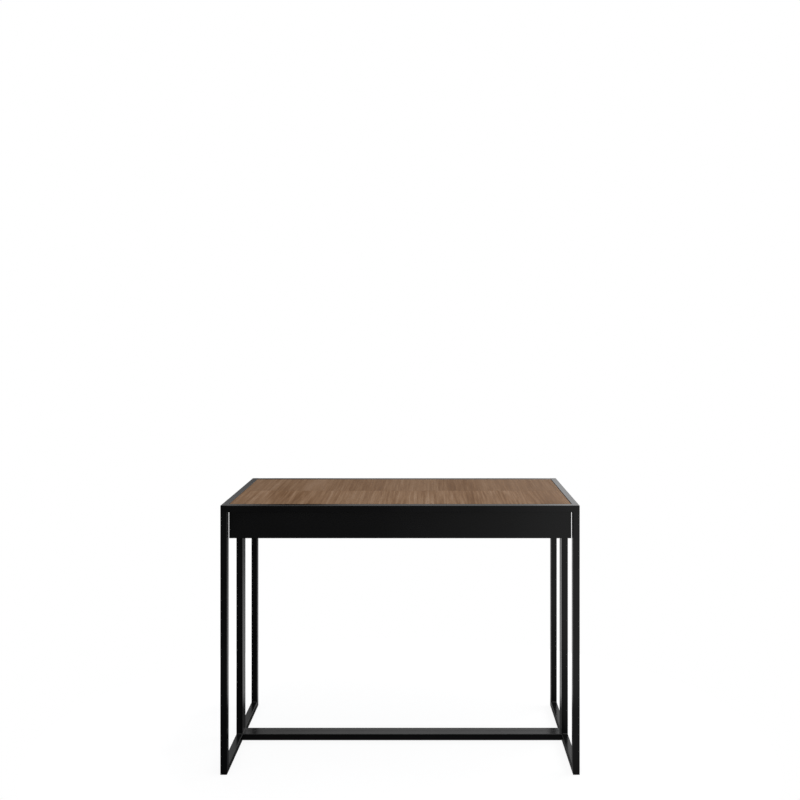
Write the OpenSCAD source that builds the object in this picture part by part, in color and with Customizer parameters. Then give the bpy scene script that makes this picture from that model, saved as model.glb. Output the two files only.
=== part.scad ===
// Writing desk: a welded square-tube frame, an inset walnut top in two leaves, one drawer on ball slides.
// Millimetres. X is the width, Y the depth with the drawer front towards -Y, Z is up.
// The origin is on the floor, under the middle of the desk.

/* [Desk] */
// Overall width
desk_w = 1000; // [700:10:1400]
// Overall depth
desk_d = 400; // [340:10:600]
// Overall height
desk_h = 750; // [600:5:1000]

/* [Steel frame] */
// Outside width of the square tube
tube = 19; // [16:1:30]
// Wall of the square tube
tube_wall = 1.5; // [1.2:0.1:2.5]
// Outside corner radius of the square tube
tube_corner_r = 1.25; // [1:0.25:2.5]
// Width of each joint line across the rear rail
joint_line_w = 2.4; // [0.5:0.1:3]
// Depth of each joint line
joint_line_depth = 0.3; // [0.2:0.1:1]
// Left end of the desk to the left joint line
left_line_inset = 209; // [60:1:300]
// Right end of the desk to the right joint line
right_line_inset = 228; // [60:1:300]

/* [Floor glides] */
// Thickness of a glide below the runner
glide_t = 1; // [1:0.5:5]
// Radius of a glide's foot
glide_r = 7; // [5:0.5:8]
// How much narrower a glide's foot is at the floor
glide_bevel = 0.5; // [0.2:0.1:1]
// Radius of a glide's stem
glide_stem_r = 2.5; // [2:0.25:4]
// Length of a glide's stem
glide_stem_l = 7; // [4:1:12]
// Distance from the end of a loop to its glide
glide_inset = 32; // [20:1:60]

/* [Walnut top] */
// Open line between the rim and the top
top_gap = 1.5; // [0.5:0.25:4]
// Joint between the front and the rear leaf
leaf_gap = 0.2; // [0.1:0.1:1]
// Thickness of the steel tabs under the top
tab_t = 2; // [1.5:0.5:4]
// Length of a tab along its rail
tab_w = 32; // [20:1:60]
// How far a tab reaches in from its rail
tab_reach = 18; // [14:1:24]
// Tabs on each long rail
tabs_per_rail = 4; // [2:1:6]
// Middle of the last tab to the end of its rail
tab_inset = 110; // [60:5:200]
// Length of a joining plate, across the joint of the leaves
plate_l = 64; // [50:2:100]
// Width of a joining plate
plate_w = 36; // [32:1:60]
// Joining plates under the joint
plates = 3; // [2:1:5]
// End of the joint to the middle of its first plate
plate_inset = 240; // [120:10:260]
// Edge of a joining plate to the middle of its screws
plate_screw_inset = 10; // [8:0.5:12]

/* [Drawer case] */
// Thickness of the case boards
case_board_t = 16; // [14:1:22]
// Open gap between the case and the frame
case_gap = 2; // [1:0.5:6]
// Lower edge of the case above the lower edge of the drawer front
case_lift = 5; // [2:1:12]
// Leg of the angle brackets that hang the case
bracket_leg = 15; // [13:1:18]
// Width of the angle brackets
bracket_w = 18; // [14:1:40]
// Steel thickness of the angle brackets
bracket_t = 1.5; // [1:0.25:3]
// Middle of a bracket to the end of the case
bracket_inset = 45; // [25:1:80]
// Thickness of the bumper pads
bumper_t = 2; // [1:0.5:4]
// Radius of the bumper pads
bumper_r = 4; // [3:0.5:6]

/* [Drawer] */
// Height of the drawer front
front_h = 74; // [70:1:120]
// Thickness of the drawer front
front_t = 16; // [14:1:22]
// Drawer front behind the front of the posts
front_setback = 14; // [0:1:26]
// Gap at each side of the drawer front
front_side_gap = 2; // [1:0.5:6]
// Gap above the drawer front
front_top_gap = 2; // [1:0.5:4]
// Bevel along the edges of the drawer front
front_bevel = 0.8; // [0.3:0.1:2]
// Thickness of the drawer box boards
box_board_t = 12; // [10:1:16]
// Lower edge of the box above the lower edge of the front
box_lift = 8; // [6:1:14]
// Free height between the box and the brackets
box_top_gap = 6; // [3:1:12]
// Free depth behind the box
box_rear_gap = 14; // [6:1:40]
// Thickness of the drawer bottom
bottom_t = 4; // [3:0.5:6]
// Lower edge of the box boards to the underside of the bottom
bottom_lift = 6; // [4:1:8]
// How far the bottom goes into its grooves
groove_depth = 5; // [3:0.5:6]
// Play of the bottom in its grooves
groove_play = 0.1; // [0.05:0.05:0.3]
// End of the inner front to the outer screws of the drawer front
outer_front_screw_inset = 80; // [40:5:100]
// Middle of the drawer front to its inner screws
inner_front_screw_x = 130; // [60:5:160]

/* [Ball slides] */
// Width of a slide, between case and box
slide_w = 12.7; // [12:0.1:16]
// Height of a slide
slide_h = 35; // [33:1:40]
// Steel thickness of the slide channels
slide_t = 1.2; // [1:0.1:1.5]
// Height of the ball race between two channels
race_gap = 2; // [1.6:0.1:2.4]
// Free width between the webs of the outer and the middle channel
web_gap = 1.6; // [1.2:0.1:2]
// Lips of the outer channel to the drawer box
outer_lip_gap = 3.2; // [2:0.1:4]
// Lips of the middle channel to the web of the inner one
middle_lip_gap = 0.3; // [0.2:0.05:1]
// Lips of the inner channel to the web of the middle one
inner_lip_gap = 1.1; // [0.5:0.1:2]
// Box end to slide end
slide_inset = 8; // [4:1:20]
// Slide end to its first screw
slide_screw_inset = 30; // [15:1:60]
// Radius of the balls
ball_r = 0.7; // [0.5:0.05:0.85]
// Clearance of a ball cage at its channels
cage_play = 0.7; // [0.5:0.05:0.75]
// Length of a ball cage
cage_l = 120; // [60:5:130]
// Balls in each row of a cage
balls_per_row = 8; // [3:1:12]

/* [Fasteners] */
// Radius of the screw shanks
screw_r = 1.75; // [1.5:0.25:2]
// Radius of the countersunk heads
screw_head_r = 3.4; // [3:0.1:4]
// Height of the countersunk heads
screw_head_h = 1.8; // [1.5:0.1:2.2]
// Radius of the blunt tip of a screw
screw_tip_r = 0.4; // [0.3:0.1:0.8]
// Length of the tapered end of a screw
screw_tip_l = 1.75; // [1:0.25:3]
// Room around a screw in its hole
screw_play = 0.1; // [0.05:0.05:0.3]
// Free depth past the tip of a screw
tip_room = 0.5; // [0.2:0.1:1]
// Width of the cross recess in a head
recess_w = 0.7; // [0.5:0.1:1]
// Depth of the cross recess
recess_depth = 0.9; // [0.5:0.1:1.2]
// Length of the screws up into the top and out into the case
short_screw_l = 12; // [8:0.5:13]
// Length of the slide screws
slide_screw_l = 10.5; // [6:0.5:11]
// Length of the screws that join board ends
long_screw_l = 40; // [30:1:60]
// Length of the screws that hold the drawer front
front_screw_l = 24; // [18:1:25]
// Screws in each slide channel
screws_per_slide = 3; // [2:1:5]

/* [Hidden] */
$fn = 48;
// How far a cut runs past the face that it opens
over = 1;
// How far two cuts of one hole run into each other
eps = 0.01;
frame_color = "#141416";
walnut_color = "#83674f";
board_color = "#17171a";
box_color = "#3a3b3e";
bottom_color = "#4a4a4c";
zinc_color = "#a9adb2";
oxide_color = "#1c1c1e";
plastic_color = "#202022";

// Frame
inner_w = desk_w - 2 * tube;
loop_d = desk_d / 2;
loop_h = desk_h - glide_t;
rim_z = desk_h - tube;
inner_y = desk_d / 2 - tube;
glide_x = -desk_w / 2 + tube / 2;
glide_ys = [-loop_d + glide_inset, -glide_inset];

// Top
panel_z = rim_z + tab_t;
panel_t = desk_h - panel_z;
panel_w = inner_w - 2 * top_gap;
panel_d = 2 * (inner_y - top_gap);
tab_first_x = -inner_w / 2 + tab_inset;
tab_step = (inner_w - 2 * tab_inset) / (tabs_per_rail - 1);
plate_first_x = -inner_w / 2 + plate_inset;
plate_step = (inner_w - 2 * plate_inset) / (plates - 1);
plate_screw_x = plate_w / 2 - plate_screw_inset;
plate_screw_y = plate_l / 2 - plate_screw_inset;

// Drawer front
front_w = inner_w - 2 * front_side_gap;
front_y = -desk_d / 2 + front_setback;
front_back_y = front_y + front_t;
front_top_z = rim_z - front_top_gap;
front_z = front_top_z - front_h;

// Case
case_x = inner_w / 2 - case_gap;
case_inner_x = case_x - case_board_t;
case_front_y = front_back_y + bumper_t;
case_rear_y = inner_y - case_gap;
case_back_y = case_rear_y - case_board_t;
case_z = front_z + case_lift;
case_back_h = rim_z - case_z;
bracket_ys = [case_front_y + bracket_inset, case_back_y - bracket_inset];
case_screw_zs = [case_z + case_back_h / 4, case_z + 3 * case_back_h / 4];

// Drawer box
box_x = case_inner_x - slide_w;
box_inner_x = box_x - box_board_t;
box_z = front_z + box_lift;
box_top_z = panel_z - bracket_leg - box_top_gap;
box_h = box_top_z - box_z;
box_rear_y = case_back_y - box_rear_gap;
box_d = box_rear_y - front_back_y;
bottom_z = box_z + bottom_lift;
box_screw_zs = [bottom_z + bottom_t + 2 * screw_head_r, box_top_z - 2 * screw_head_r];
outer_front_screw_x = box_inner_x - outer_front_screw_inset;
front_screw_xs = [-outer_front_screw_x, -inner_front_screw_x, inner_front_screw_x, outer_front_screw_x];

// Slides
slide_l = box_d - 2 * slide_inset;
slide_z = box_z + box_h / 2;
slide_front_y = front_back_y + slide_inset;
slide_mid_y = slide_front_y + slide_l / 2;
middle_h = slide_h - 2 * slide_t - 2 * race_gap;
inner_h = middle_h - 2 * slide_t - 2 * race_gap;
outer_reach = slide_w - outer_lip_gap;
middle_u = slide_t + web_gap;
middle_reach = slide_w - slide_t - middle_lip_gap - middle_u;
inner_reach = slide_w - middle_u - slide_t - inner_lip_gap;
cage_t = race_gap - 2 * cage_play;
outer_cage_u = [middle_u, outer_reach];
inner_cage_u = [slide_w - inner_reach, middle_u + middle_reach];
slide_screw_step = (slide_l - 2 * slide_screw_inset) / (screws_per_slide - 1);
slide_screw_ys = [
  for (i = [0 : screws_per_slide - 1]) slide_front_y + slide_screw_inset + i * slide_screw_step
];

// ---- placing ----

// Built on the left, and mirrored for the right when side is 1
module on_side(side) {
  if (side > 0) {
    mirror([1, 0, 0]) children();
  } else {
    children();
  }
}

// Built at the front, and mirrored for the rear when half is 1
module in_half(half) {
  if (half > 0) {
    mirror([0, 1, 0]) children();
  } else {
    children();
  }
}

module both_sides() {
  children();
  mirror([1, 0, 0]) children();
}

// ---- square tube ----

// Square with round corners, lower left corner at the origin
module rounded_square(size, r) {
  translate([r, 0]) square([size - 2 * r, size]);
  translate([0, r]) square([size, size - 2 * r]);
  for (x = [r, size - r], y = [r, size - r]) {
    translate([x, y]) circle(r = r);
  }
}

// Tube along +Z, open at both ends
module square_tube(length) {
  linear_extrude(length) difference() {
    rounded_square(tube, tube_corner_r);
    translate([tube_wall, tube_wall]) square(tube - 2 * tube_wall);
  }
}

// Tube whose ends are mitred so that the face at y = 0 is the long, outer one
module mitred_tube(length) {
  intersection() {
    square_tube(length);
    rotate([90, 0, 90]) linear_extrude(tube) polygon([
      [0, 0], [tube, tube], [tube, length - tube], [0, length]
    ]);
  }
}

// ---- side loops ----

module outer_post(side, half) {
  color(frame_color) on_side(side) in_half(half)
    translate([-desk_w / 2, -desk_d / 2, glide_t]) mitred_tube(loop_h);
}

module mid_post(side, half) {
  color(frame_color) on_side(side) in_half(half)
    translate([-desk_w / 2, 0, glide_t]) mirror([0, 1, 0]) mitred_tube(loop_h);
}

module side_rail(side, half) {
  color(frame_color) on_side(side) in_half(half)
    translate([-desk_w / 2, -loop_d, desk_h]) rotate([-90, 0, 0]) mitred_tube(loop_d);
}

module runner(side, half) {
  color(frame_color) on_side(side) in_half(half) difference() {
    translate([-desk_w / 2, 0, glide_t]) rotate([90, 0, 0]) mitred_tube(loop_d);
    for (y = glide_ys) {
      translate([glide_x, y, glide_t - over])
        cylinder(r = glide_stem_r + screw_play, h = tube_wall + 2 * over);
    }
  }
}

module floor_glide() {
  cylinder(r1 = glide_r - glide_bevel, r2 = glide_r, h = glide_t);
  cylinder(r = glide_stem_r, h = glide_t + glide_stem_l);
}

module floor_glides() {
  color(plastic_color) both_sides() for (half = [-1, 1], y = glide_ys) {
    in_half(half) translate([glide_x, y, 0]) floor_glide();
  }
}

// ---- cross rails and stretchers ----

module cross_tube(y, z) {
  translate([-inner_w / 2, y, z]) rotate([90, 0, 90]) square_tube(inner_w);
}

module front_rail() {
  color(frame_color) cross_tube(-desk_d / 2, rim_z);
}

// Cut into the top and the rear face of the rear rail
module joint_line(x) {
  translate([x - joint_line_w / 2, inner_y - over, desk_h - joint_line_depth])
    cube([joint_line_w, tube + 2 * over, tube]);
  translate([x - joint_line_w / 2, desk_d / 2 - joint_line_depth, rim_z - over])
    cube([joint_line_w, tube, tube + 2 * over]);
}

module rear_rail() {
  color(frame_color) difference() {
    cross_tube(inner_y, rim_z);
    joint_line(-desk_w / 2 + left_line_inset);
    joint_line(desk_w / 2 - right_line_inset);
  }
}

// The twin stretchers lie on the floor line, one in each frame half
module stretcher(half) {
  color(frame_color) in_half(half) cross_tube(-tube, glide_t);
}

// ---- fasteners ----

// Countersunk screw with a cross recess: its flat head is at z = 0 and it points along +Z
module screw(length) {
  difference() {
    union() {
      cylinder(r1 = screw_head_r, r2 = screw_r, h = screw_head_h);
      cylinder(r = screw_r, h = length - screw_tip_l);
      translate([0, 0, length - screw_tip_l]) cylinder(r1 = screw_r, r2 = screw_tip_r, h = screw_tip_l);
    }
    for (a = [0, 90]) {
      rotate(a) translate([-screw_r, -recess_w / 2, -over])
        cube([2 * screw_r, recess_w, over + recess_depth]);
    }
  }
}

// The hole that a screw sits in
module screw_hole(length) {
  translate([0, 0, -eps]) cylinder(
    r1 = screw_head_r + screw_play, r2 = screw_r + screw_play, h = screw_head_h + eps
  );
  translate([0, 0, screw_head_h - eps])
    cylinder(r = screw_r + screw_play, h = length - screw_head_h + eps + tip_room);
}

// ---- walnut top ----

module at_tab_screws() {
  for (half = [-1, 1], i = [0 : tabs_per_rail - 1]) {
    in_half(half) translate([tab_first_x + i * tab_step, -inner_y + tab_reach / 2, rim_z]) children();
  }
}

module top_tabs() {
  color(frame_color) difference() {
    at_tab_screws() translate([-tab_w / 2, -tab_reach / 2, 0]) cube([tab_w, tab_reach, tab_t]);
    at_tab_screws() screw_hole(short_screw_l);
  }
}

module tab_screws() {
  color(zinc_color) at_tab_screws() screw(short_screw_l);
}

module at_joining_plates() {
  for (i = [0 : plates - 1]) {
    translate([plate_first_x + i * plate_step, 0, rim_z]) children();
  }
}

module at_joining_plate_screws() {
  at_joining_plates() for (x = [-plate_screw_x, plate_screw_x], y = [-plate_screw_y, plate_screw_y]) {
    translate([x, y, 0]) children();
  }
}

module joining_plates() {
  color(zinc_color) difference() {
    at_joining_plates() translate([-plate_w / 2, -plate_l / 2, 0]) cube([plate_w, plate_l, tab_t]);
    at_joining_plate_screws() screw_hole(short_screw_l);
  }
}

module joining_plate_screws() {
  color(zinc_color) at_joining_plate_screws() screw(short_screw_l);
}

// One leaf lies on the front rail's tabs and one on the rear rail's, and they meet over the twin stretchers
module top_leaf(half) {
  color(walnut_color) difference() {
    in_half(half) translate([-panel_w / 2, -panel_d / 2, panel_z])
      cube([panel_w, panel_d / 2 - leaf_gap / 2, panel_t]);
    at_tab_screws() screw_hole(short_screw_l);
    at_joining_plate_screws() screw_hole(short_screw_l);
    both_sides() at_bracket_top_screws() screw_hole(short_screw_l);
  }
}

// ---- drawer case ----

// Into the top, from a left bracket's level leg
module at_bracket_top_screws() {
  for (y = bracket_ys) {
    translate([-case_inner_x + bracket_t + bracket_leg / 2, y, panel_z - bracket_t]) children();
  }
}

// Into the left case side, from a bracket's upright leg
module at_bracket_side_screws() {
  for (y = bracket_ys) {
    translate([-case_inner_x + bracket_t, y, panel_z - bracket_t - bracket_leg / 2]) rotate([0, -90, 0])
      children();
  }
}

// Into the left end of the case back, from outside the case side
module at_case_screws() {
  for (z = case_screw_zs) {
    translate([-case_x, case_rear_y - case_board_t / 2, z]) rotate([0, 90, 0]) children();
  }
}

// Into the left case side, from inside the outer slide channel
module at_case_slide_screws() {
  for (y = slide_screw_ys) {
    translate([-case_inner_x + slide_t, y, slide_z]) rotate([0, -90, 0]) children();
  }
}

module case_side(side) {
  color(board_color) on_side(side) difference() {
    translate([-case_x, case_front_y, case_z])
      cube([case_board_t, case_rear_y - case_front_y, panel_z - case_z]);
    at_bracket_side_screws() screw_hole(short_screw_l);
    at_case_screws() screw_hole(long_screw_l);
    at_case_slide_screws() screw_hole(slide_screw_l);
  }
}

module case_back() {
  color(board_color) difference() {
    translate([-case_inner_x, case_back_y, case_z]) cube([2 * case_inner_x, case_board_t, case_back_h]);
    both_sides() at_case_screws() screw_hole(long_screw_l);
  }
}

module case_screws() {
  color(oxide_color) both_sides() at_case_screws() screw(long_screw_l);
}

module case_brackets() {
  color(zinc_color) both_sides() difference() {
    for (y = bracket_ys) {
      translate([-case_inner_x, y - bracket_w / 2, panel_z]) mirror([0, 0, 1]) {
        cube([bracket_leg, bracket_w, bracket_t]);
        cube([bracket_t, bracket_w, bracket_leg]);
      }
    }
    at_bracket_top_screws() screw_hole(short_screw_l);
    at_bracket_side_screws() screw_hole(short_screw_l);
  }
}

module bracket_screws() {
  color(zinc_color) both_sides() {
    at_bracket_top_screws() screw(short_screw_l);
    at_bracket_side_screws() screw(short_screw_l);
  }
}

module bumper_pads() {
  color(plastic_color) both_sides() for (z = case_screw_zs) {
    translate([-case_x + case_board_t / 2, case_front_y, z]) rotate([90, 0, 0])
      cylinder(r = bumper_r, h = bumper_t);
  }
}

// ---- ball slides ----

// Section of a pressed channel that opens towards +X
module channel(height, reach) {
  difference() {
    translate([0, -height / 2]) square([reach, height]);
    translate([slide_t, -height / 2 + slide_t]) square([reach, height - 2 * slide_t]);
  }
}

// Extrudes a section along the left slide: its x runs from the case side towards the box
module along_slide(length) {
  translate([-case_inner_x, slide_mid_y + length / 2, slide_z]) rotate([90, 0, 0])
    linear_extrude(length) children();
}

module slide_outer(side) {
  color(zinc_color) on_side(side) difference() {
    along_slide(slide_l) channel(slide_h, outer_reach);
    at_case_slide_screws() screw_hole(slide_screw_l);
  }
}

module slide_middle(side) {
  color(zinc_color) on_side(side) along_slide(slide_l)
    translate([middle_u, 0]) channel(middle_h, middle_reach);
}

module slide_inner(side) {
  color(zinc_color) on_side(side) difference() {
    along_slide(slide_l) translate([slide_w, 0]) mirror([1, 0]) channel(inner_h, inner_reach);
    at_box_slide_screws() screw_hole(slide_screw_l);
  }
}

// Retainer strips with their balls, above and below a channel of the given height
module ball_cage(side, channel_h, reach) {
  strip_w = reach[1] - reach[0];
  row_z = channel_h / 2 + race_gap / 2;
  ball_step = cage_l / balls_per_row;
  color(zinc_color) on_side(side) for (up = [-1, 1]) {
    along_slide(cage_l) translate([reach[0], up * row_z - cage_t / 2]) square([strip_w, cage_t]);
    for (i = [0 : balls_per_row - 1]) {
      translate([
        -case_inner_x + reach[0] + strip_w / 2,
        slide_mid_y - cage_l / 2 + (i + 0.5) * ball_step,
        slide_z + up * row_z
      ]) sphere(r = ball_r);
    }
  }
}

module case_slide_screws() {
  color(zinc_color) both_sides() at_case_slide_screws() screw(slide_screw_l);
}

// ---- drawer ----

// Into the left box side, from inside the inner slide channel
module at_box_slide_screws() {
  for (y = slide_screw_ys) {
    translate([-box_x - slide_t, y, slide_z]) rotate([0, 90, 0]) children();
  }
}

module box_slide_screws() {
  color(zinc_color) both_sides() at_box_slide_screws() screw(slide_screw_l);
}

// Into the ends of the inner front and the back, from outside the left box side
module at_box_screws() {
  for (y = [front_back_y + box_board_t / 2, box_rear_y - box_board_t / 2], z = box_screw_zs) {
    translate([-box_x, y, z]) rotate([0, 90, 0]) children();
  }
}

// Into the drawer front, from inside the box
module at_front_screws() {
  for (x = front_screw_xs) {
    translate([x, front_back_y + box_board_t, slide_z]) rotate([90, 0, 0]) children();
  }
}

// The slot that the drawer bottom slides into, cut from all four boards
module bottom_groove() {
  translate([
    -box_inner_x - groove_depth - groove_play,
    front_back_y + box_board_t - groove_depth - groove_play,
    bottom_z - groove_play
  ]) cube([
    2 * (box_inner_x + groove_depth + groove_play),
    box_d - 2 * box_board_t + 2 * (groove_depth + groove_play),
    bottom_t + 2 * groove_play
  ]);
}

module drawer_front() {
  color(board_color) difference() {
    translate([-front_w / 2, front_y, front_z]) rotate([90, 0, 90]) linear_extrude(front_w) polygon([
      [front_bevel, 0], [front_t, 0], [front_t, front_h],
      [front_bevel, front_h], [0, front_h - front_bevel], [0, front_bevel]
    ]);
    at_front_screws() screw_hole(front_screw_l);
  }
}

module drawer_inner_front() {
  color(box_color) difference() {
    translate([-box_inner_x, front_back_y, box_z]) cube([2 * box_inner_x, box_board_t, box_h]);
    bottom_groove();
    at_front_screws() screw_hole(front_screw_l);
    both_sides() at_box_screws() screw_hole(long_screw_l);
  }
}

module drawer_side(side) {
  color(box_color) on_side(side) difference() {
    translate([-box_x, front_back_y, box_z]) cube([box_board_t, box_d, box_h]);
    bottom_groove();
    at_box_screws() screw_hole(long_screw_l);
    at_box_slide_screws() screw_hole(slide_screw_l);
  }
}

module drawer_back() {
  color(box_color) difference() {
    translate([-box_inner_x, box_rear_y - box_board_t, box_z]) cube([2 * box_inner_x, box_board_t, box_h]);
    bottom_groove();
    both_sides() at_box_screws() screw_hole(long_screw_l);
  }
}

module drawer_bottom() {
  color(bottom_color) translate([
    -box_inner_x - groove_depth,
    front_back_y + box_board_t - groove_depth,
    bottom_z
  ]) cube([
    2 * (box_inner_x + groove_depth),
    box_d - 2 * box_board_t + 2 * groove_depth,
    bottom_t
  ]);
}

module drawer_box_screws() {
  color(zinc_color) both_sides() at_box_screws() screw(long_screw_l);
}

module drawer_front_screws() {
  color(zinc_color) at_front_screws() screw(front_screw_l);
}

// ---- nodes ----

outer_post(-1, -1);  // front_left_post
mid_post(-1, -1);  // mid_front_left_post
mid_post(-1, 1);  // mid_rear_left_post
outer_post(-1, 1);  // rear_left_post
outer_post(1, -1);  // front_right_post
mid_post(1, -1);  // mid_front_right_post
mid_post(1, 1);  // mid_rear_right_post
outer_post(1, 1);  // rear_right_post
runner(-1, -1);  // front_left_runner
runner(-1, 1);  // rear_left_runner
runner(1, -1);  // front_right_runner
runner(1, 1);  // rear_right_runner
side_rail(-1, -1);  // front_left_side_rail
side_rail(-1, 1);  // rear_left_side_rail
side_rail(1, -1);  // front_right_side_rail
side_rail(1, 1);  // rear_right_side_rail
front_rail();
rear_rail();
stretcher(-1);  // front_stretcher
stretcher(1);  // rear_stretcher
floor_glides();
top_tabs();
tab_screws();
top_leaf(-1);  // front_top_leaf
top_leaf(1);  // rear_top_leaf
joining_plates();
joining_plate_screws();
case_side(-1);  // left_case_side
case_side(1);  // right_case_side
case_back();
case_screws();
case_brackets();
bracket_screws();
bumper_pads();
slide_outer(-1);  // left_slide_outer
slide_middle(-1);  // left_slide_middle
slide_inner(-1);  // left_slide_inner
slide_outer(1);  // right_slide_outer
slide_middle(1);  // right_slide_middle
slide_inner(1);  // right_slide_inner
ball_cage(-1, middle_h, outer_cage_u);  // left_outer_ball_cage
ball_cage(-1, inner_h, inner_cage_u);  // left_inner_ball_cage
ball_cage(1, middle_h, outer_cage_u);  // right_outer_ball_cage
ball_cage(1, inner_h, inner_cage_u);  // right_inner_ball_cage
case_slide_screws();
box_slide_screws();
drawer_front();
drawer_inner_front();
drawer_side(-1);  // drawer_left_side
drawer_side(1);  // drawer_right_side
drawer_back();
drawer_bottom();
drawer_box_screws();
drawer_front_screws();
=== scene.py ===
import math

import bmesh
import bpy
from mathutils import Matrix, Vector


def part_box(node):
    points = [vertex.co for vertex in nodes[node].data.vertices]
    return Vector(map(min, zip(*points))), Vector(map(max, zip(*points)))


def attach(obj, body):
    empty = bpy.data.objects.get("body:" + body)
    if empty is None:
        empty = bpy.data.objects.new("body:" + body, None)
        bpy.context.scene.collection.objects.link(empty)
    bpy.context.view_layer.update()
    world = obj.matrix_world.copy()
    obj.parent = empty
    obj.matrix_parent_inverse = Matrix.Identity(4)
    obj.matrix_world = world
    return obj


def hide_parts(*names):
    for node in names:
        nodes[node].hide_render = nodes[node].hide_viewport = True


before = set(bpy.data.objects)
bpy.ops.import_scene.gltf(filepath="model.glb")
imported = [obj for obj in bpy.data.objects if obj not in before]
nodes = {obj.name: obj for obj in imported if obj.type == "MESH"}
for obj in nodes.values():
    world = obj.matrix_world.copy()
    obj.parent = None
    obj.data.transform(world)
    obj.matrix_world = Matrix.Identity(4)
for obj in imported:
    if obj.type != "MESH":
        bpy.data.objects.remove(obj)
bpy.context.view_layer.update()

# ---- Camera ----
# A level camera, a little right of the desk's middle and above its top, so that uprights stay upright. Its
# lens is shifted down and to the left to frame the desk.
camera_place = (0.0756, -2.3475, 1.235)
lens_mm = 34.75
sensor_mm = 36.0
lens_shift_x = -0.0340
lens_shift_y = -0.0861

camera_data = bpy.data.cameras.new("camera")
camera_data.lens = lens_mm
camera_data.sensor_width = sensor_mm
camera_data.shift_x = lens_shift_x
camera_data.shift_y = lens_shift_y
camera = bpy.data.objects.new("camera", camera_data)
camera.location = camera_place
camera.rotation_euler = (math.radians(90), 0, 0)
bpy.context.scene.collection.objects.link(camera)
bpy.context.scene.camera = camera
bpy.context.scene.view_settings.view_transform = "Standard"


# ---- Studio room ----
# A white room that shows as plain white and lights the desk evenly. Glossy surfaces mirror it as a studio
# does: walls that are bright on the right, a pale ceiling, a dark doorway in the far wall and unlit ground.
class Wire:
    """A value in a shader. Maths on it adds Math nodes."""

    def __init__(self, finish, socket):
        self.finish = finish
        self.socket = socket

    def math(self, operation, first, second):
        return self.finish.node("Math", {"operation": operation}, {0: first, 1: second})

    def __add__(self, other):
        return self.math("ADD", self, other)

    def __sub__(self, other):
        return self.math("SUBTRACT", self, other)

    def __rsub__(self, other):
        return self.math("SUBTRACT", other, self)

    def __mul__(self, other):
        return self.math("MULTIPLY", self, other)

    __radd__ = __add__
    __rmul__ = __mul__


class Finish:
    """Builds the shader of one material, or of the world."""

    def __init__(self, owner):
        owner.use_nodes = True
        self.owner = owner
        self.tree = owner.node_tree
        self.tree.nodes.clear()

    def node(self, kind, settings=None, sockets=None, out=0):
        """Adds a node: its settings first, then the values or links of its sockets. Gives its output."""
        made = self.tree.nodes.new("ShaderNode" + kind)
        for name, value in (settings or {}).items():
            if name == "stops":
                ramp = made.color_ramp
                while len(ramp.elements) < len(value):
                    ramp.elements.new(0.5)
                for element, (place, shade) in zip(ramp.elements, value):
                    element.position = place
                    element.color = shade
            else:
                setattr(made, name, value)
        for name, value in (sockets or {}).items():
            if isinstance(value, Wire):
                self.tree.links.new(value.socket, made.inputs[name])
            else:
                made.inputs[name].default_value = value
        return Wire(self, made.outputs[out])

    def blend(self, share, first, second):
        """Mix of two colours."""
        return self.node("Mix", {"data_type": "RGBA"}, {0: share, 6: first, 7: second}, out=2)

    def span(self, value, low, high, to_low=0.0, to_high=1.0):
        """Value from low..high mapped on to_low..to_high, and held inside it."""
        sockets = {"Value": value, "From Min": low, "From Max": high, "To Min": to_low, "To Max": to_high}
        return self.node("MapRange", {}, sockets)

    def split(self, vector, axes="XYZ"):
        """Parts of a vector along some axes."""
        return [self.node("SeparateXYZ", {}, {0: vector}, out=axis) for axis in axes]

    def mirrored(self):
        """1 on rays that come from a glossy or clear surface, and 0 on others."""
        return self.node("LightPath", out="Is Glossy Ray") + self.node("LightPath", out="Is Transmission Ray")

    def close(self, kind, shade):
        """Ends the shader at its output."""
        output = self.tree.nodes.new("ShaderNode" + kind)
        self.tree.links.new(shade.socket, output.inputs["Surface"])


def grey(level):
    return (level, level, level, 1.0)


room_tint = (0.82, 0.84, 0.87, 1.0)
room_light = 0.50
# Levels of the mirrored ground on the left and on the right.
near_ground_levels = (0.56, 0.42)
far_ground_levels = (0.52, 0.15)
# Directions between which one part of the room runs over into the next, across, back or up.
left_to_right = (-0.1, 0.1)
near_to_far = (-0.2, 0.2)
wall_foot = (0.06, -0.06)
far_to_near_ground = (-0.25, -0.34)
wall_to_ceiling = (0.26, 0.60)

world = bpy.data.worlds.new("studio")
bpy.context.scene.world = world
room = Finish(world)
across, back, up = room.split(room.node("TexCoord", out="Generated"))


def wall_light(stops):
    """Brightness of a wall of the room. A stop is a place, 0 at the left to 1 at the right, and a level."""
    return room.node("ValToRGB", {"stops": [(place, grey(level)) for place, level in stops]},
                     {"Fac": room.span(across, -1.0, 1.0)})


camera_side = wall_light([
    (0.00, 0.35), (0.20, 0.20), (0.34, 0.05), (0.44, 0.06), (0.50, 0.10), (0.56, 0.20), (0.60, 0.58),
    (0.75, 0.75),
])
far_side = wall_light([
    (0.00, 0.50), (0.25, 0.40), (0.375, 0.37), (0.393, 0.20), (0.404, 0.03), (0.425, 0.00), (0.437, 0.12),
    (0.450, 0.32), (0.55, 0.42), (0.568, 0.54), (0.583, 1.00),
])
ceiling = wall_light([(0.00, 0.80), (0.25, 0.70), (0.38, 0.55), (0.43, 0.92), (0.60, 1.00)])
near_ground, far_ground = (
    room.blend(room.span(across, *left_to_right), grey(left), grey(right))
    for left, right in (near_ground_levels, far_ground_levels)
)
far_share = room.span(back, *near_to_far)
walls = room.blend(far_share, camera_side, far_side)
ground = room.blend(room.span(up, *far_to_near_ground), far_ground, near_ground)
sides = room.blend(far_share * room.span(up, *wall_foot), walls, ground)
mirrored_light = room.blend(room.span(up, *wall_to_ceiling), sides, ceiling)
hidden_light = room.blend(room.mirrored(), tuple(part * room_light for part in room_tint), mirrored_light)
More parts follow.
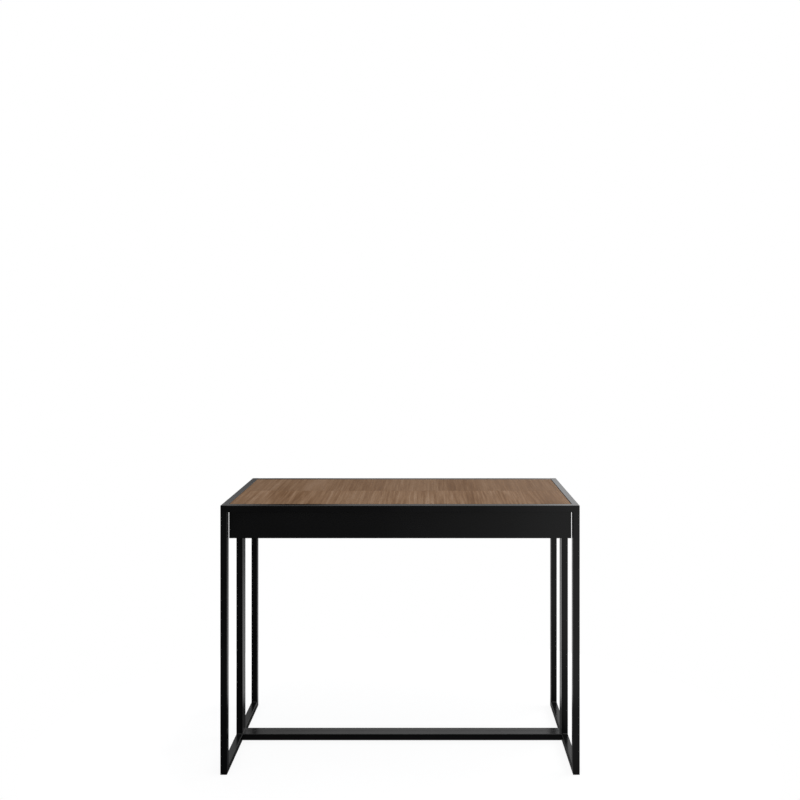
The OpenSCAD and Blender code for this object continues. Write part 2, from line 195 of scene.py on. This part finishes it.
shown_light = room.blend(room.node("LightPath", out="Is Camera Ray"), hidden_light, grey(1.0))
room.close("OutputWorld", room.node("Background", {}, {"Color": shown_light, "Strength": 1.0}))

# ---- Floor ----
# A matt pale sheet under the desk, just larger than it, that runs out to plain white. It keeps the desk's
# soft shadow. In its place, glossy surfaces see a painted reflection that glows by itself: dim ahead of the
# desk, a painted shadow under it and light behind it.
sheet_half_width = 1.10
sheet_half_depth = 0.75
sheet_points = 96
sheet_level = 0.16
near_glow = 0.89
far_glow = 1.0
fade_start = 0.62
fade_end = 0.97
# Levels of the painted reflection that glossy surfaces see, at the left and the right end of the desk, and
# where they change: painted light ahead of and behind the desk, a painted shadow under it and painted light
# beside its right end.
desk_ends = (-0.5, 0.5)
ahead = (0.04, 0.22)
under = (0.05, 0.08)
behind = (0.42, 0.55)
beside_painted_light = 0.10
right_of_desk = (0.47, 0.53)
ahead_to_under = (-0.30, -0.14)
under_to_behind = (0.18, 0.28)

floor_form = bmesh.new()
bmesh.ops.create_circle(floor_form, cap_ends=True, segments=sheet_points, radius=1)
bmesh.ops.scale(floor_form, vec=(sheet_half_width, sheet_half_depth, 1), verts=floor_form.verts)
floor_mesh = bpy.data.meshes.new("floor")
floor_form.to_mesh(floor_mesh)
floor_form.free()
floor = bpy.data.objects.new("floor", floor_mesh)
bpy.context.scene.collection.objects.link(floor)

floor_paint = Finish(bpy.data.materials.new("pale floor"))
on_sheet = floor_paint.node("TexCoord", out="Object")
to_unit = (1 / sheet_half_width, 1 / sheet_half_depth, 1)
unit_place = floor_paint.node("Mapping", {}, {"Vector": on_sheet, "Scale": to_unit})
to_rim = floor_paint.node("VectorMath", {"operation": "LENGTH"}, {0: unit_place}, out="Value")
glow_level = floor_paint.span(to_rim, fade_start, fade_end, near_glow, far_glow)
glow_seen = glow_level * floor_paint.node("LightPath", out="Is Camera Ray")
glow = floor_paint.node("Emission", {}, {"Color": grey(1.0), "Strength": glow_seen})
matt = floor_paint.node("BsdfDiffuse", {}, {"Color": grey(sheet_level)})
plain_floor = floor_paint.node("AddShader", {}, {0: matt, 1: glow})

# Glossy rays see only this painted reflection, not the lit sheet: a glow with a painted shadow under the
# desk.
sheet_x, sheet_y = floor_paint.split(on_sheet, "XY")
ahead_level, painted_shadow_level, behind_level = (
    floor_paint.span(sheet_x, *desk_ends, *levels) for levels in (ahead, under, behind)
)
painted_shadow_and_light_level = painted_shadow_level + floor_paint.span(sheet_x, *right_of_desk, 0.0, beside_painted_light)
near_level = floor_paint.blend(floor_paint.span(sheet_y, *ahead_to_under), ahead_level, painted_shadow_and_light_level)
painted_reflection_level = floor_paint.blend(floor_paint.span(sheet_y, *under_to_behind), near_level, behind_level)
# The painted reflection glows by itself, though it is no lamp.
painted_floor_reflection = floor_paint.node("Emission", {}, {"Color": painted_reflection_level, "Strength": 1.0})
both_floors = {0: floor_paint.mirrored(), 1: plain_floor, 2: painted_floor_reflection}
floor_paint.close("OutputMaterial", floor_paint.node("MixShader", {}, both_floors))
floor_mesh.materials.append(floor_paint.owner)


# ---- Lamps ----
# Three large soft boxes: a window to the right, the ceiling, and a weak fill from the left front. Each is
# turned to the middle of the desk.
def soft_lamp(name, place, target, width, height, power):
    """A rectangular lamp at a place, turned to a target."""
    lamp_data = bpy.data.lights.new(name, "AREA")
    lamp_data.shape = "RECTANGLE"
    lamp_data.size = width
    lamp_data.size_y = height
    lamp_data.energy = power
    lamp = bpy.data.objects.new(name, lamp_data)
    lamp.location = place
    aim = [t - p for t, p in zip(target, place)]
    flat = math.hypot(aim[0], aim[1])
    lamp.rotation_euler = (math.pi / 2 + math.atan2(aim[2], flat), 0, math.atan2(-aim[0], aim[1]))
    bpy.context.scene.collection.objects.link(lamp)


desk_middle = (0, 0, 0.5)
for name, place, width, height, power in (
    ("window_lamp", (3.4, 0.6, 2.2), 2.4, 2.0, 60),
    ("ceiling_lamp", (0.3, -0.3, 3.4), 3.0, 3.0, 42),
    ("fill_lamp", (-2.6, -2.4, 1.8), 2.0, 2.0, 6),
):
    soft_lamp(name, place, desk_middle, width, height, power)


# ---- Steel frame ----
# Two loops of square tube stand back to back on each side, joined by the rails of the rim and by twin
# stretchers on the floor line. It is mild steel, mitred, welded, ground flush and coated with satin black
# powder.
def coords(finish, scale=(1, 1, 1), place=(0, 0, 0)):
    """Object coordinates in metres, stretched by scale and moved by place."""
    sockets = {"Vector": finish.node("TexCoord", out="Object"), "Scale": scale, "Location": place}
    return finish.node("Mapping", {}, sockets)


def noise(finish, at, cells, detail=4.0, roughness=0.55, distortion=0.0):
    """Soft noise between 0 and 1, with a number of cells to the metre."""
    sockets = {"Vector": at, "Scale": cells, "Detail": detail, "Roughness": roughness}
    return finish.node("TexNoise", {}, {**sockets, "Distortion": distortion})


def relief(finish, height, depth, strength):
    """Surface relief of a depth in metres."""
    return finish.node("Bump", {}, {"Height": height, "Distance": depth, "Strength": strength})


def surface(finish, **looks):
    """A Principled surface. Looks are named as its sockets, with _ for a space."""
    sockets = {name.replace("_", " "): value for name, value in looks.items()}
    return finish.node("BsdfPrincipled", {}, sockets)


def coat(finish, **looks):
    """Ends a material with a Principled surface."""
    finish.close("OutputMaterial", surface(finish, **looks))


flat_facing = 0.97
edge_facing = 0.80


def rounded_edges(finish):
    """Mask of the rounded edges of square work: 1 half way round an edge and 0 on its flat faces."""
    normal = finish.node("NewGeometry", out="Normal")
    x, y, z = finish.split(finish.node("VectorMath", {"operation": "ABSOLUTE"}, {0: normal}))
    x_or_y = x.math("MAXIMUM", x, y)
    return finish.span(x_or_y.math("MAXIMUM", x_or_y, z), flat_facing, edge_facing)


def dress(finish, names):
    """Gives a finish to CAD nodes."""
    for name in names:
        mesh = nodes[name].data
        mesh.materials.clear()
        mesh.materials.append(finish.owner)


def add_piece(name, form, finish, body, stands_for=()):
    """Makes a form a piece of the desk, in the place of some CAD nodes if it stands for them."""
    mesh = bpy.data.meshes.new(name)
    form.to_mesh(mesh)
    form.free()
    mesh.materials.append(finish.owner)
    piece = bpy.data.objects.new(name, mesh)
    bpy.context.scene.collection.objects.link(piece)
    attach(piece, body)
    if stands_for:
        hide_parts(*stands_for)
    return piece


loop_tubes = [
    f"{place}_{side}_{part}"
    for side in ("left", "right")
    for place, part in (
        ("front", "post"), ("mid_front", "post"), ("mid_rear", "post"), ("rear", "post"),
        ("front", "runner"), ("rear", "runner"), ("front", "side_rail"), ("rear", "side_rail"),
    )
]
cross_tubes = ["front_rail", "front_stretcher", "rear_stretcher"]

# Most of a soft noise lies in this range.
noise_core = (0.3, 0.7)
powder_shades = ((0.0018, 0.0018, 0.0020, 1), (0.0030, 0.0030, 0.0032, 1))
powder_rubbed = (0.022, 0.022, 0.023, 1)
powder_roughness = (0.17, 0.25)
powder_cloud = (0.35, 0.65)
rub_patches = (0.46, 0.66)
rub_share = 0.6
rub_gloss = 0.05


def powder_coat(name):
    """Satin black powder with a fine orange peel, rubbed along rounded edges, and its surface."""
    powder = Finish(bpy.data.materials.new(name))
    powder_at = coords(powder)
    peel = noise(powder, powder_at, cells=850, detail=2)
    grit = noise(powder, powder_at, cells=3200, detail=1)
    cloud = noise(powder, powder_at, cells=9, detail=3)
    rub = rounded_edges(powder) * powder.span(noise(powder, powder_at, cells=34, detail=4), *rub_patches)
    coated = powder.blend(powder.span(cloud, *powder_cloud), *powder_shades)
    dullness = powder.span(cloud * 0.5 + peel * 0.5, *noise_core, *powder_roughness)
    return powder, surface(
        powder,
        Base_Color=powder.blend(rub * rub_share, coated, powder_rubbed),
        Roughness=dullness - rub * rub_gloss,
        Specular_IOR_Level=0.50,
        Normal=relief(powder, peel * 0.8 + grit * 0.2, depth=0.00005, strength=0.5),
    )


powder, satin = powder_coat("satin black powder coat")
powder.close("OutputMaterial", satin)
dress(powder, loop_tubes + cross_tubes)

# The two joint lines across the rear rail are coloured matt black. Their places come from its mesh.
end_margin = 0.01
line_blur = 0.0001
joint_line_shades = ((0.0010, 0.0010, 0.0010, 1), (0.0024, 0.0024, 0.0024, 1))

rail_low, rail_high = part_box("rear_rail")
rail_xs = (vert.co.x for vert in nodes["rear_rail"].data.vertices)
line_sides = sorted({round(x, 5) for x in rail_xs if rail_low.x + end_margin < x < rail_high.x - end_margin})
lined_powder, lined_satin = powder_coat("satin black powder coat with black joint lines")
(across_rail,) = lined_powder.split(lined_powder.node("TexCoord", out="Object"), "X")
in_line = sum(
    lined_powder.span(across_rail, left - line_blur, left)
    - lined_powder.span(across_rail, right, right + line_blur)
    for left, right in zip(line_sides[::2], line_sides[1::2])
)
joint_line_grain = noise(lined_powder, coords(lined_powder), cells=2000, detail=2)
joint_line_coat = surface(
    lined_powder,
    Base_Color=lined_powder.blend(joint_line_grain, *joint_line_shades),
    Roughness=0.95,
    Specular_IOR_Level=0.02,
)
rail_coats = {0: in_line, 1: lined_satin, 2: joint_line_coat}
lined_powder.close("OutputMaterial", lined_powder.node("MixShader", {}, rail_coats))
dress(lined_powder, ["rear_rail"])

# ---- Corner welds ----
# A small rippled bead lies in each inside corner of the loops and round the ends of the stretchers. The
# seams at the ends of the long rails are filled and ground flush. All of it is coated with the frame.
bead_radius = 0.0014
bead_rise = 0.0004
bead_points = 12
bead_inset = 0.0015
bead_ripple = 0.10
bead_taper = (0.35, 0.80)
ripple_pitch = 0.0012
tube_round = 0.00125
tube_round_steps = 6
seam_reach = 0.0014
seam_overlap = 0.0001
grind = 0.00002


def edges_of(verts):
    """Edges that meet at some vertices, each of them once and in a fixed order."""
    return list(dict.fromkeys(edge for vert in verts for edge in vert.link_edges))


def weld_bead(form, start, end):
    """A rippled bead along a corner, tapered at both ends."""
    along = end - start
    count = round(along.length / ripple_pitch)
    step = along / count
    turn = along.to_track_quat("Z", "Y").to_matrix().to_4x4()
    sizes = [1 + (bead_ripple if index % 2 else -bead_ripple) for index in range(count + 1)]
    sizes[0], sizes[1] = bead_taper
    sizes[-1], sizes[-2] = bead_taper
    ring = bmesh.ops.create_circle(form, segments=bead_points, radius=bead_radius * sizes[0],
                                   matrix=Matrix.Translation(start) @ turn)["verts"]
    edges = edges_of(ring)
    bmesh.ops.holes_fill(form, edges=edges, sides=bead_points)
    for before, after in zip(sizes, sizes[1:]):
        grown = bmesh.ops.extrude_edge_only(form, edges=edges)["geom"]
        ring = [part for part in grown if isinstance(part, bmesh.types.BMVert)]
        edges = [part for part in grown if isinstance(part, bmesh.types.BMEdge)]
        middle = sum((vert.co for vert in ring), Vector()) / len(ring) + step
        bmesh.ops.translate(form, vec=step, verts=ring)
        bmesh.ops.scale(form, vec=(after / before,) * 3, space=Matrix.Translation(-middle), verts=ring)
    bmesh.ops.holes_fill(form, edges=edges, sides=bead_points)


beads = bmesh.new()
for side, way in (("left", -1), ("right", 1)):
    for half in ("front", "rear"):
        outer_low, outer_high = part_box(f"{half}_{side}_post")
        inner_low, inner_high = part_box(f"mid_{half}_{side}_post")
        opening = (outer_high.y, inner_low.y) if half == "front" else (inner_high.y, outer_low.y)
        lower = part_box(f"{half}_{side}_runner")[1].z
        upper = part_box(f"{half}_{side}_side_rail")[0].z
        left_end = outer_low.x + bead_inset
        right_end = outer_high.x - bead_inset
        for y, inward_y in zip(opening, (1, -1)):
            for z, inward_z in ((lower, 1), (upper, -1)):
                corner = (y + inward_y * bead_rise, z + inward_z * bead_rise)
                weld_bead(beads, Vector((left_end, *corner)), Vector((right_end, *corner)))
    front_low, front_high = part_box("front_stretcher")
    rear_low, rear_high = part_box("rear_stretcher")
    x = way * (front_high.x - bead_rise)
    z = front_high.z + bead_rise
    weld_bead(beads, Vector((x, front_low.y, z)), Vector((x, rear_high.y, z)))
    for y, inward_y in ((front_low.y, -1), (rear_high.y, 1)):
        y += inward_y * bead_rise
        weld_bead(beads, Vector((x, y, front_low.z + bead_inset)), Vector((x, y, front_high.z)))
bmesh.ops.recalc_face_normals(beads, faces=beads.faces)
for face in beads.faces:
    face.smooth = True
add_piece("corner_welds", beads, powder, "desk")

seams = bmesh.new()
seam_width = seam_reach + seam_overlap
for half in ("front", "rear"):
    low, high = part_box(f"{half}_rail")
    fill_size = (seam_width, high.y - low.y - 2 * grind, high.z - low.z - 2 * grind)
    for way in (-1, 1):
        x = way * (high.x + (seam_reach - seam_overlap) / 2)
        fill = bmesh.ops.create_cube(seams, size=1)["verts"]
        bmesh.ops.scale(seams, vec=fill_size, verts=fill)
        bmesh.ops.translate(seams, vec=(x, (low.y + high.y) / 2, (low.z + high.z) / 2), verts=fill)
        long_edges = [
            edge for edge in edges_of(fill) if abs(edge.verts[0].co.x - edge.verts[1].co.x) > seam_width / 2
        ]
        bmesh.ops.bevel(seams, geom=long_edges, offset=tube_round, offset_type="OFFSET", affect="EDGES",
                        segments=tube_round_steps, profile=0.5, material=-1, clamp_overlap=True)
add_piece("rail_end_seams", seams, powder, "desk")

# ---- Floor glides ----
# Eight moulded nylon buttons pushed into the undersides of the runners, matt black with a fine moulded
# grain.
plastic_shades = ((0.014, 0.014, 0.015, 1), (0.024, 0.024, 0.025, 1))

plastic = Finish(bpy.data.materials.new("moulded black plastic"))
plastic_grain = noise(plastic, coords(plastic), cells=2600, detail=2)
coat(
    plastic,
    Base_Color=plastic.blend(plastic_grain, *plastic_shades),
    Roughness=plastic.span(plastic_grain, *noise_core, to_low=0.55, to_high=0.7),
    Normal=relief(plastic, plastic_grain, depth=0.00004, strength=0.6),
)
dress(plastic, ["floor_glides"])

# ---- Tabs, joining plates and their screws ----
# Steel tabs are welded under both long rails and coated with them. Three zinc plates tie the two leaves of
# the top together from below, and plated countersunk screws go up through all of them.
zinc_shades = ((0.46, 0.48, 0.50, 1), (0.60, 0.61, 0.62, 1))
rolled_stretch = (1, 0.03, 1)
plated_shades = ((0.50, 0.51, 0.52, 1), (0.66, 0.66, 0.65, 1))

zinc = Finish(bpy.data.materials.new("zinc plated steel"))
rolled = noise(zinc, coords(zinc, rolled_stretch), cells=1400, detail=3)
spangle = noise(zinc, coords(zinc), cells=70, detail=4)
coat(
    zinc,
    Base_Color=zinc.blend(spangle, *zinc_shades),
    Metallic=1.0,
    Roughness=zinc.span(rolled * 0.5 + spangle * 0.5, *noise_core, to_low=0.28, to_high=0.44),
    Normal=relief(zinc, rolled, depth=0.00003, strength=0.4),
)
plated = Finish(bpy.data.materials.new("plated screw steel"))
cast = noise(plated, coords(plated), cells=900, detail=3)
coat(
    plated,
    Base_Color=plated.blend(cast, *plated_shades),
    Metallic=1.0,
    Roughness=plated.span(cast, *noise_core, to_low=0.24, to_high=0.4),
    Normal=relief(plated, cast, depth=0.00002, strength=0.4),
)
dress(powder, ["top_tabs"])
dress(zinc, ["joining_plates"])
dress(plated, ["tab_screws", "joining_plate_screws"])

# ---- Walnut top ----
# Two leaves of board with a matt walnut laminate lie inset in the rim and meet at mid-depth. Each was cut
# from its own sheet, so the straight grain from front to back doesn't run on from one leaf to the other.
leaf_arris = 0.0004
arris_steps = 3
front_sheet = (0.0, 0.0, 0.0)
rear_sheet = (3.7, 1.3, 0.9)
walnut_shades = (
    (0.34, (0.118, 0.054, 0.020)), (0.45, (0.183, 0.096, 0.045)),
    (0.54, (0.253, 0.149, 0.082)), (0.66, (0.366, 0.243, 0.165)),
)
walnut_grey = (0.213, 0.124, 0.068, 1)
walnut_pore = (0.095, 0.048, 0.025, 1)
grey_patches = (0.42, 0.62)
grey_share = 0.45
open_pores = (0.57, 0.68)
pore_share = 0.50
facing_down = -0.9
backing_shades = ((0.034, 0.022, 0.015, 1), (0.060, 0.041, 0.029, 1))


def soft_board(low, high, arris, steps):
    """A board between two corners, with its edges slightly rounded."""
    board = bmesh.new()
    bmesh.ops.create_cube(board, size=1)
    bmesh.ops.scale(board, vec=high - low, verts=board.verts)
    bmesh.ops.translate(board, vec=(low + high) / 2, verts=board.verts)
    bmesh.ops.bevel(board, geom=board.edges[:], offset=arris, offset_type="OFFSET", affect="EDGES",
                    segments=steps, profile=0.5, material=-1, clamp_overlap=True)
    return board


def grain(finish, sheet_place, cells, along, **kind):
    """Noise drawn out along the grain, with a number of cells to the metre across it."""
    return noise(finish, coords(finish, (1, along, along), sheet_place), cells, **kind)


def walnut_laminate(name, sheet_place, lightness, streak_contrast):
    """Straight-grained walnut: pores and fibres inside narrow strands and broad soft bands."""
    walnut = Finish(bpy.data.materials.new(name))
    bands = grain(walnut, sheet_place, cells=13, along=0.10, detail=2, distortion=0.3)
    strands = grain(walnut, sheet_place, cells=150, along=0.030, detail=3, roughness=0.6)
    fibres = grain(walnut, sheet_place, cells=420, along=0.020, detail=4, roughness=0.65)
    pores = walnut.span(grain(walnut, sheet_place, cells=1500, along=0.018, detail=2), *open_pores)
    greying = walnut.span(grain(walnut, sheet_place, cells=7, along=0.30, detail=2), *grey_patches)
    tone = (bands * 0.32 + strands * 0.44 + fibres * 0.24 - 0.5) * streak_contrast + 0.5
    stops = [(place, (*(level * lightness for level in shade), 1)) for place, shade in walnut_shades]
    colour = walnut.node("ValToRGB", {"stops": stops}, {"Fac": tone})
    greyed = walnut.blend(greying * grey_share, colour, walnut_grey)
    coat(
        walnut,
        Base_Color=walnut.blend(pores * pore_share, greyed, walnut_pore),
        Roughness=walnut.span(fibres * 0.6 + strands * 0.4, *noise_core, to_low=0.36, to_high=0.48),
        Specular_IOR_Level=0.03,
        Normal=relief(walnut, fibres - pores * 0.8, depth=0.00005, strength=0.5),
    )
    return walnut


backing = Finish(bpy.data.materials.new("brown backing sheet"))
backing_felt = noise(backing, coords(backing), cells=900, detail=4, roughness=0.7)
backing_cloud = noise(backing, coords(backing), cells=18, detail=3)
coat(
    backing,
    Base_Color=backing.blend(backing_felt * 0.5 + backing_cloud * 0.5, *backing_shades),
    Roughness=backing.span(backing_felt, *noise_core, to_low=0.55, to_high=0.7),
    Normal=relief(backing, backing_felt, depth=0.00004, strength=0.4),
)
# The rear leaf is coloured darker than the front one and has weaker streaks.
for leaf, sheet_place, lightness, streak_contrast in (
    ("front_top_leaf", front_sheet, 0.96, 1.00),
    ("rear_top_leaf", rear_sheet, 0.855, 0.85),
):
    walnut = walnut_laminate(leaf.replace("_", " ") + " walnut", sheet_place, lightness, streak_contrast)
    board = soft_board(*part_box(leaf), leaf_arris, arris_steps)
    for face in board.faces:
        if face.normal.z < facing_down:
            face.material_index = 1
    piece = add_piece(leaf + "_board", board, walnut, "desk", [leaf])
    piece.data.materials.append(backing.owner)

# ---- Drawer case ----
# Two sides and a back of lacquered board hang under the top on zinc angle brackets. Small discs of black
# plastic on the front ends of the sides meet the closed drawer front.
case_arris = 0.0006
merge_distance = 1e-6
flat_turn = math.radians(0.5)
on_face = 1e-5
lacquer_shades = ((0.0018, 0.0018, 0.0020, 1), (0.0030, 0.0030, 0.0032, 1))
lacquer_worn = (0.024, 0.023, 0.022, 1)
worn_patches = (0.48, 0.68)
worn_share = 0.6
oxide_shades = ((0.014, 0.014, 0.015, 1), (0.030, 0.030, 0.032, 1))

lacquer = Finish(bpy.data.materials.new("satin black lacquer"))
lacquer_at = coords(lacquer)
roller = noise(lacquer, lacquer_at, cells=420, detail=3)
sheen = noise(lacquer, lacquer_at, cells=5, detail=2)
worn = rounded_edges(lacquer) * lacquer.span(noise(lacquer, lacquer_at, cells=40, detail=4), *worn_patches)
coat(
    lacquer,
    Base_Color=lacquer.blend(worn * worn_share, lacquer.blend(sheen, *lacquer_shades), lacquer_worn),
    Roughness=lacquer.span(sheen * 0.6 + roller * 0.4, *noise_core, to_low=0.21, to_high=0.29),
    Specular_IOR_Level=0.50,
    Normal=relief(lacquer, roller, depth=0.00004, strength=0.3),
)
oxide = Finish(bpy.data.materials.new("black oxide screw steel"))
oil = noise(oxide, coords(oxide), cells=700, detail=3)
coat(
    oxide,
    Base_Color=oxide.blend(oil, *oxide_shades),
    Roughness=oxide.span(oil, *noise_core, to_low=0.34, to_high=0.5),
    Normal=relief(oxide, oil, depth=0.00002, strength=0.4),
)


def merged(name):
    """A copy of a CAD node with its triangles joined into whole faces."""
    copy = bmesh.new()
    copy.from_mesh(nodes[name].data)
    bmesh.ops.remove_doubles(copy, verts=copy.verts, dist=merge_distance)
    bmesh.ops.dissolve_limit(copy, angle_limit=flat_turn, verts=copy.verts, edges=copy.edges)
    return copy


def round_off(form, edges, radius, steps):
    """Rounds some edges of a form and leaves its faces flat."""
    bmesh.ops.bevel(form, geom=edges, offset=radius, offset_type="OFFSET", affect="EDGES",
                    segments=steps, profile=0.5, material=-1, clamp_overlap=True)
    for face in form.faces:
        face.smooth = False


def lies_on(edge, axis, level):
    """Whether an edge lies in a plane square to an axis."""
    return all(abs(vert.co[axis] - level) < on_face for vert in edge.verts)


def softened(name, arris):
    """A copy of a board of the CAD model with rounded outer edges. Its holes and grooves stay."""
    board = merged(name)
    sides = [(axis, corner[axis]) for axis in range(3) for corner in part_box(name)]
    outer = [edge for edge in board.edges if sum(lies_on(edge, *side) for side in sides) == 2]
    round_off(board, outer, arris, arris_steps)
    return board


for board_name in ("left_case_side", "right_case_side", "case_back"):
    board = softened(board_name, case_arris)
    add_piece(board_name + "_board", board, lacquer, "desk", [board_name])
dress(oxide, ["case_screws"])
dress(zinc, ["case_brackets"])
dress(plated, ["bracket_screws"])
dress(plastic, ["bumper_pads"])

# ---- Ball slides ----
# Each slide is three pressed channels with bright zinc plating, and steel balls in cages that run between
# them. The outer channel is screwed to the case and the inner one to the drawer box.
bend_radius = 0.0004
bend_steps = 3
bend_length = 0.05
bend_turn = 1.0
ball_shades = ((0.60, 0.60, 0.60, 1), (0.72, 0.72, 0.71, 1))

balls = Finish(bpy.data.materials.new("bright ball steel"))
smudge = noise(balls, coords(balls), cells=400, detail=3)
coat(
    balls,
    Base_Color=balls.blend(smudge, *ball_shades),
    Metallic=1.0,
    Roughness=balls.span(smudge, *noise_core, to_low=0.12, to_high=0.24),
)


def pressed(name):
    """A copy of a slide channel of the CAD model with rounded bends and lips."""
    channel = merged(name)
    bends = [
        edge for edge in channel.edges
        if abs(edge.verts[0].co.y - edge.verts[1].co.y) > bend_length and edge.calc_face_angle(0) > bend_turn
    ]
    round_off(channel, bends, bend_radius, bend_steps)
    return channel


for side in ("left", "right"):
    for member, body in (("outer", "desk"), ("middle", f"{side}_slide_middle"), ("inner", "drawer")):
        channel_name = f"{side}_slide_{member}"
        add_piece(channel_name + "_channel", pressed(channel_name), zinc, body, [channel_name])
    dress(balls, [f"{side}_outer_ball_cage", f"{side}_inner_ball_cage"])
dress(plated, ["case_slide_screws", "box_slide_screws"])

# ---- Drawer box ----
# Thin graphite melamine boards with a pearl texture, screwed together round a bottom of graphite hardboard
# that lies in their grooves.
band_arris = 0.0010
melamine_shades = ((0.030, 0.031, 0.034, 1), (0.052, 0.053, 0.057, 1))
hardboard_shades = ((0.045, 0.045, 0.047, 1), (0.088, 0.088, 0.092, 1))
felt_stretch = (1, 0.3, 1)

melamine = Finish(bpy.data.materials.new("graphite melamine"))
melamine_at = coords(melamine)
pearl = noise(melamine, melamine_at, cells=1500, detail=3)
patch = noise(melamine, melamine_at, cells=24, detail=3)
coat(
    melamine,
    Base_Color=melamine.blend(pearl * 0.6 + patch * 0.4, *melamine_shades),
    Roughness=melamine.span(pearl, *noise_core, to_low=0.48, to_high=0.6),
    Normal=relief(melamine, pearl, depth=0.00006, strength=0.5),
)
hardboard = Finish(bpy.data.materials.new("graphite hardboard"))
felted = noise(hardboard, coords(hardboard, felt_stretch), cells=700, detail=5, roughness=0.7)
mottle = noise(hardboard, coords(hardboard), cells=30, detail=3)
coat(
    hardboard,
    Base_Color=hardboard.blend(felted * 0.7 + mottle * 0.3, *hardboard_shades),
    Roughness=hardboard.span(felted, *noise_core, to_low=0.6, to_high=0.75),
    Normal=relief(hardboard, felted, depth=0.00008, strength=0.5),
)
for board_name in ("drawer_inner_front", "drawer_left_side", "drawer_right_side", "drawer_back"):
    board = softened(board_name, band_arris)
    add_piece(board_name + "_board", board, melamine, "drawer", [board_name])
dress(hardboard, ["drawer_bottom"])
dress(plated, ["drawer_box_screws"])

# ---- Drawer front ----
# One plain board with slightly rounded edges and no handle, lacquered like the case and screwed to the box
# from inside.
front_arris = 0.0008

board = soft_board(*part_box("drawer_front"), front_arris, arris_steps)
add_piece("drawer_front_board", board, lacquer, "drawer", ["drawer_front"])
dress(plated, ["drawer_front_screws"])
